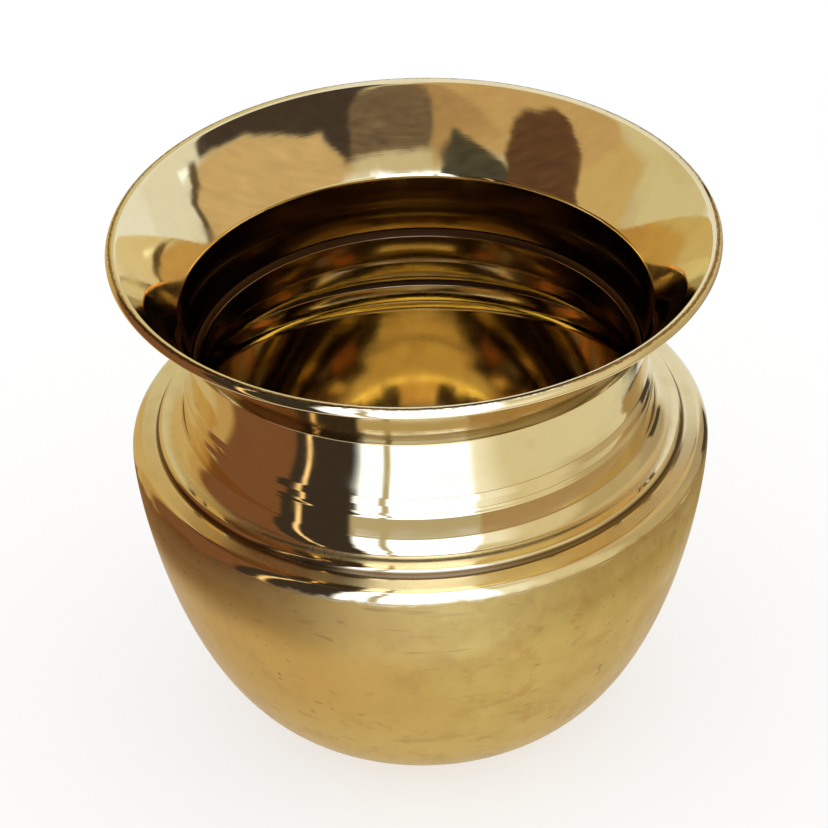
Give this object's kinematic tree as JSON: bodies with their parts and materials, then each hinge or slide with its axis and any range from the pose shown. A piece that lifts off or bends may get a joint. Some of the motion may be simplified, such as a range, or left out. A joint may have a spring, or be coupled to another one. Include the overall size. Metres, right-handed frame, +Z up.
{
  "type": "lota water pot",
  "caption": "Small round-bodied brass water pot with a stepped shoulder, a short neck and a wide flared mouth with a turned-over lip.",
  "frame": {"origin": "middle of the base, on the surface that the pot stands on", "axes": "+Z up along the pot's axis of revolution; X and Y are level, and every direction round the axis is alike"},
  "size_m": [0.114, 0.114, 0.1034],
  "materials": {
    "polished_brass": "mirror polish with fine wiping scratches",
    "satin_brass": "satin, buffed round the axis, with faint smudges",
    "spelter": "dull, as run"
  },
  "bodies": {
    "root": {"bowl": "satin_brass", "shoulder": "polished_brass", "neck": "polished_brass", "belly_braze": "spelter", "neck_braze": "spelter"}
  },
  "joints": []
}
